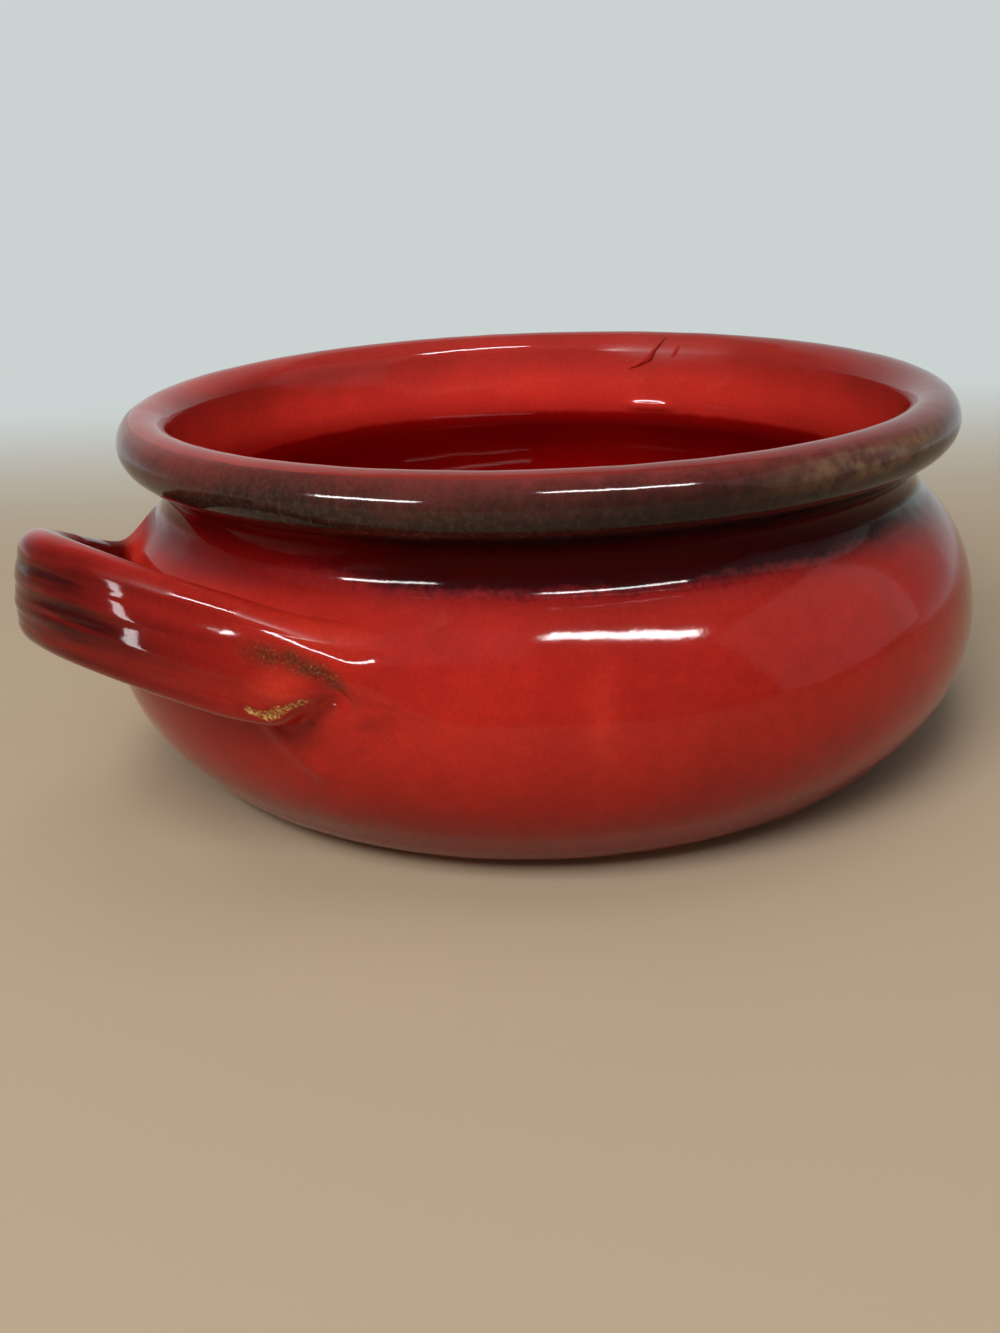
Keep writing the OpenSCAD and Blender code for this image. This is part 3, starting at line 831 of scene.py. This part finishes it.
def strapPoint(length, j):
    # point of lengthwise line j at a distance from the root, on the half whose root lies at +Y
    s = strap
    u, px, py, dx, dy = (np.interp(length, loop["length"], table)
                         for table in (loop["u"], *loop["curve"].T, *loop["slope"].T))
    rise = (1 - np.cos(pi * np.clip(u, 0, 1))) / 2
    wide = s["width"] + s["flare"] * (1 - rise) - s["pinch"] * (1 - ease(u, *s["pinchOver"]))
    f = wide / 2 - s["edgeR"]
    x = across[j] * f * 2 / wide
    fade = (1 - np.cos(pi * np.clip(u / s["fadeIn"], 0, 1))) / 2
    groove = s["groove"] * fade * (1 + np.cos(pi * s["ridges"] * (x + 1))) / 2
    # the pull of the hand leaves slow unevenness along the face
    pitch, phase, longPitch, longPhase, deep = s["wanderWaves"]
    uneven = np.sin(pitch * x + phase) * np.sin(longPitch * (loop["half"] - length) + longPhase) - deep
    groove = groove + s["wander"] * fade * uneven
    # and fine lines along its outer reach
    (sway, swayPitch), (level, swing, fadePitch, slant) = s["pullSway"], s["pullFade"]
    lines = np.sin(pi * x * wide / s["pullPitch"] + sway * np.sin(swayPitch * length))
    lines = lines * (np.abs(across[j]) < 1) * (level + swing * np.sin(fadePitch * length + slant * x))
    groove = groove + s["pull"] * ease(u, *s["pullOver"]) * lines
    top = s["thick"] / 2 - (s["rootCrown"] + (s["crown"] - s["rootCrown"]) * rise) * x ** 2 - groove
    middle = (top - s["thick"] / 2) / 2
    out = middle + (top - middle) * front[j]
    high = across[j] * f + edgeOut[j] * s["edgeR"]
    tilt = np.radians(rootTilt + (s["lean"] - rootTilt) * rise)
    flat = out * np.cos(tilt) - high * np.sin(tilt)
    up = high * np.cos(tilt) + out * np.sin(tilt)
    return np.stack([px - dy * flat, py + dx * flat, rootZ + s["loopRise"] * rise + up], -1)


def wallArc(low):
    # centre and radius of the wall's arc, below the belly line or above it
    return (np.where(low, clay["lowC"][0], clay["highC"][0]),
            np.where(low, bowl["bellyLowR"], bowl["shoulderR"]))


def toWall(p):
    # angle round the axis, distance along the wall's outline and height off the clay of a point
    centre, radius = wallArc(p[..., 2] < bowl["bellyZ"])
    dr, dz = np.hypot(p[..., 0], p[..., 1]) - centre, p[..., 2] - bowl["bellyZ"]
    return (np.arctan2(p[..., 1], p[..., 0]), clay["belly"] + np.arctan2(dz, dr) * radius,
            np.hypot(dr, dz) - radius)


def offWall(turn, run, height):
    # the point at those wall coordinates, also past the ends of the outline
    centre, radius = wallArc(run < clay["belly"])
    angle, reach = (run - clay["belly"]) / radius, radius + height
    return spun(centre + reach * np.cos(angle), turn, bowl["bellyZ"] + reach * np.sin(angle))


def ringSmooth(values, width):
    # running mean round a closed ring
    return sum(np.roll(values, k, axis=0) for k in range(-width, width + 1)) / (2 * width + 1)


def strapHalf(s):
    lines, inMm = np.arange(len(across)), np.array([wallR, 1, 1])

    def wallPlace(length):
        # wall coordinates of all lines, the angle as a length on the shoulder
        return np.stack(toWall(strapPoint(length, lines)), -1) * inMm

    # where each line meets the glaze, by halving
    low, high = np.full(len(lines), -s["tail"]), np.full(len(lines), s["meetBy"] * loop["half"])
    for k in range(s["halvings"]):
        middle = (low + high) / 2
        off = wallPlace(middle)[:, 2] > bowl["glazeT"]
        low, high = np.where(off, low, middle), np.where(off, middle, high)
    outline = wallPlace(high)[:, :2]
    # direction away from the outline, square to it
    tangent = np.roll(outline, -2, 0) - np.roll(outline, 2, 0)
    away = unitOf(np.stack([tangent[:, 1], -tangent[:, 0]], 1))
    if (away * (outline - outline.mean(0))).sum() < 0:
        away = -away
    away = np.pad(unitOf(ringSmooth(away, smear["spread"])), ((0, 0), (0, 1)))
    onEdge = np.abs(edgeOut) > smear["edgeFrom"]
    kind = np.where(onEdge, np.where(edgeOut > 0, 0, 2), np.where(front > 0, 1, 3))
    sizes = np.array([smear[k] for k in ("top", "tip", "bottom", "back")])[kind]
    sizes = ringSmooth(ringSmooth(sizes, smear["blend"]), smear["blend"])
    # skirt: a cubic in wall coordinates from the strap, along its line, to the wall, away from the outline
    start = high + sizes[:, 0]
    q0 = wallPlace(start)
    heading = (q0 - wallPlace(start + smear["probe"])) / smear["probe"]
    q0[:, 2] -= bowl["glazeT"]
    q3 = np.pad(outline, ((0, 0), (0, 1))) + away * sizes[:, 1:]
    q1 = q0 + heading * sizes[:, :1] * smear["reach"]
    q2 = q3 - away * sizes[:, 1:] * smear["reach"]
    t = np.linspace(1, 0, s["skirtRows"] + 1)[:-1, None, None]
    skirt = cubic(t, q0, q1, q2, q3)
    # inside the wall the end closes on rings that shrink to a pole
    middle = q3.mean(0)
    inner = np.stack([middle + (q3 - middle) * k - [0, 0, smear["sunk"]] for k in smear["rings"]])
    share = np.linspace(0, 1, s["rows"])[:, None]
    length = start + (loop["half"] - start) * share
    body = wallPlace(length) - [0, 0, bowl["glazeT"]]
    # rows in wall coordinates: angle, distance along the outline, height off a plain glaze face
    rows = np.vstack([inner, skirt, body]) / inMm
    onLoop = np.vstack([np.zeros((len(inner) + len(skirt), len(lines))), length / loop["half"]])
    merge = np.interp(t[:, :, 0], (smear["mergeFrom"], 1), (0, 1))
    merge = np.vstack([np.ones((len(inner), 1)), merge, 0 * share])
    pole = np.array([middle[0] / wallR, middle[1], -smear["poleSunk"]])
    return dict(rows=rows, onLoop=onLoop, merge=merge, caps=len(inner), pole=pole)


halfStrap = strapHalf(strap)

# Looks of a strap, by share of the half loop, mm across it and mm off the wall: maroon glaze on its outer
# reach, painted shade on its back and its far leg; an upper edge that hands rubbed; painted light on the
# lump and above it
dusk = dict(along=(0.12, 0.82), face=-0.1, outer=(0.5, 0.85), side=16, sideOuter=0.4, level=(0.92, 0.12),
            low=(3, 10, 0.2), back=(0.02, 0.12, 0.75), farLegShade=(0.25, 0.6), farLegHigh=(1, 7))
wear = dict(edge=6, climb=3, climbOver=0.35, soft=3)
litSpots = ((-15.5, -3.2, 4.4, 3.1, 0.9), (-10, 8, 12, 5, 0.4))  # painted light: place from the root, spread, strength
rootFit = dict(cutDeep=0.9, sink=0.02, thinDown=0.8, veilHigh=8)


def maroonAndShadeShare(onLoop, aside, turn, high, side):
    # maroon glaze along the face, and painted shade on the back and on the far leg
    outer = ease(onLoop, *dusk["outer"])
    share = np.interp(onLoop, dusk["along"], (0, 1)) * np.clip(front - dusk["face"], 0, 1)
    share = share * (1 - np.clip(aside / dusk["side"], 0, 1) ** 3 * (1 - dusk["sideOuter"] * outer))
    share = share * (dusk["level"][0] + dusk["level"][1] * outer)
    start, end, less = dusk["low"]
    share = share * (1 - less * ease(-aside, start, end))
    # painted shade on the strap's back, the face towards the bowl
    start, end, most = dusk["back"]
    share = np.maximum(share, most * np.clip(-front, 0, 1) * ease(onLoop, start, end))
    # painted shade: the leg on the veiled side is darker all round, where it stands off the wall
    over, most = dusk["farLegShade"]
    farLegShade = ease(-angleOff(turn, degrees(side)), 0, over) * ease(high, *dusk["farLegHigh"])
    return np.maximum(share, most * farLegShade)


def strapMarks(run, turn, high, onLoop, merge, side):
    aside = across * (strap["width"] / 2 - strap["edgeR"]) + edgeOut * strap["edgeR"]
    climb = wear["climb"] * ease(onLoop, 0, wear["climbOver"])  # lower down towards the roots
    worn = smooth((aside - wear["edge"] - climb) / wear["soft"]) * (1 - merge)
    worn = worn * (1 - ease(onLoop, *dusk["outer"]))
    along = loop["half"] * np.vstack([halfStrap["onLoop"], 2 - halfStrap["onLoop"][-2::-1]])
    bare, thin, rosy = 0 * run, 0 * run, 0 * run
    for a, b, strength in rootPlaces(run, turn):
        # painted light on the top of the lump and on the root above it
        for at, up, wide, tall, share in litSpots:
            rosy = rosy + strength * share * bump(a - at, wide) * bump(b - up, tall)
        thin = thin + strength * grooveShare(a, b + rootFit["thinDown"])
        bare = bare + (strength == 1) * np.sqrt(tearShare(a, b))
        worn = worn * (1 - softSpan(a, *roots["gleam"]))
    ran = veilShare(run, turn) * (1 - ease(high, 0, rootFit["veilHigh"]))
    # maroon glaze and painted shade of the strap
    dark = maroonAndShadeShare(onLoop, aside, turn, high, side)
    return dict(run=fringeRun(run, turn), dusk=dark, worn=worn, along=along, aside=aside + 0 * run,
                bare=bare, thin=thin, rosy=rosy, veil=ran)


def handlePiece(name, node, side):
    # two mirrored halves end to end, turned to their side of the bowl
    h = halfStrap
    flip = np.array([-1, 1, 1])
    rows = np.vstack([h["rows"], h["rows"][-2::-1] * flip]) + [side, 0, 0]
    onLoop, merge = (np.vstack([h[k], h[k][-2::-1]]) for k in ("onLoop", "merge"))
    turn, run, high = np.moveaxis(rows, -1, 0)
    cut = cutAway(run, turn)
    height = high * (1 - rootFit["cutDeep"] * cut) + lift(run, turn) - rootFit["sink"] * merge
    points = offWall(turn, run, height)
    # normals from the slopes along and across the strap, turning into the wall's own at the skirt's edge
    shown = slice(h["caps"], len(points) - h["caps"])
    seen = points[shown]
    slopes = unitOf(np.cross(np.gradient(seen, axis=0), np.roll(seen, -1, 1) - np.roll(seen, 1, 1)))
    middle = len(slopes) // 2
    if (slopes[middle] * (seen[middle] - seen[middle].mean(0))).sum() < 0:
        slopes = -slopes
    normals = faceNormals(run, turn)
    likeWall = np.maximum(merge, rootFit["cutDeep"] * ease(cut, 0.5, 1))[shown][..., None]
    normals[shown] = slopes + (normals[shown] - slopes) * likeWall
    poles = np.array([h["pole"], h["pole"] * flip]) + [side, 0, 0]
    points = np.vstack([points.reshape(-1, 3), offWall(*poles.T)])
    normals = np.vstack([normals.reshape(-1, 3), [[0, 0, 1]] * 2])
    marks = strapMarks(run, turn, high, onLoop, merge, side)
    piece = shellPiece(name, points, *tubeFaces(*rows.shape[:2]), outsideFinish, marks, normals)
    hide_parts(node)


handlePiece("right_strap", "right_handle", 0)
handlePiece("left_strap", "left_handle", pi)


# Flaws of the inside: a torn scar of glaze under the lip, and a flake beside it.
# Path points: degrees round, mm past the top of the roll, mm wide; then height in mm
flaws = dict(
    glaze_scar=(((27.3, 19.9, 0.9), (25.6, 18.4, 2.2), (24.2, 16.9, 2.6), (22.9, 15.4, 2.8),
                 (22, 12.9, 1.6), (21.1, 11, 1.2), (20.3, 7.7, 0.8)), 1.1),
    scar_flake=(((18.5, 15.6, 0.8), (17.8, 13.8, 2), (17.2, 11.6, 1.6), (16.9, 10.4, 0.7)), 0.3))
ribbon = dict(rows=72, around=20, ends=(0.04, 0.96), ripple=(0.35, 2.1, 1.7), sunk=0.35)


def flawPiece(name, path, high):
    # a ribbon along the path, its section a lens: flat under the glaze, raised and rippled above it
    step = np.linspace(0, len(path) - 1, ribbon["rows"])
    turn, depth, wide = (np.interp(step, np.arange(len(path)), values) for values in np.array(path).T)
    middle = np.stack([np.radians(turn) * wallR, clay["top"] + depth], 1)
    heading = unitOf(np.gradient(middle, axis=0))
    share = np.sin(pi * np.linspace(*ribbon["ends"], len(step)))[:, None] ** 0.5
    phase = np.linspace(0, 2 * pi, ribbon["around"], endpoint=False)
    reach = share * wide[:, None] / 2 * np.cos(phase)
    deep, pitch, twist = ribbon["ripple"]
    ripple = 1 + deep * np.sin(pitch * step)[:, None] * np.cos(phase + twist * step[:, None])
    lens = np.where(np.sin(phase) > 0, high * share * ripple, ribbon["sunk"]) * np.sin(phase)
    around = (middle[:, :1] - heading[:, 1:] * reach) / wallR
    run = middle[:, 1:] + heading[:, :1] * reach
    tips = middle[[0, -1]]
    points = np.vstack([onWall(run, around, lift(run, around) + lens).reshape(-1, 3),
                        onWall(tips[:, 1], tips[:, 0] / wallR, bowl["glazeT"])])
    marks = dict(depth=np.append(run.ravel(), tips[:, 1]) - clay["top"], pour=np.ones(len(points)))
    piece = shellPiece(name, points, *tubeFaces(*reach.shape), insideFinish, marks)


for flawName, (flawPath, flawHigh) in flaws.items():
    flawPiece(flawName, flawPath, flawHigh)

for lampName, pieceNames in mirrorsOf.items():
    mirrors = bpy.data.collections.new("mirrors_" + lampName)
    for pieceName in pieceNames:
        mirrors.objects.link(bpy.data.objects[pieceName])
    bpy.data.objects[lampName].light_linking.receiver_collection = mirrors
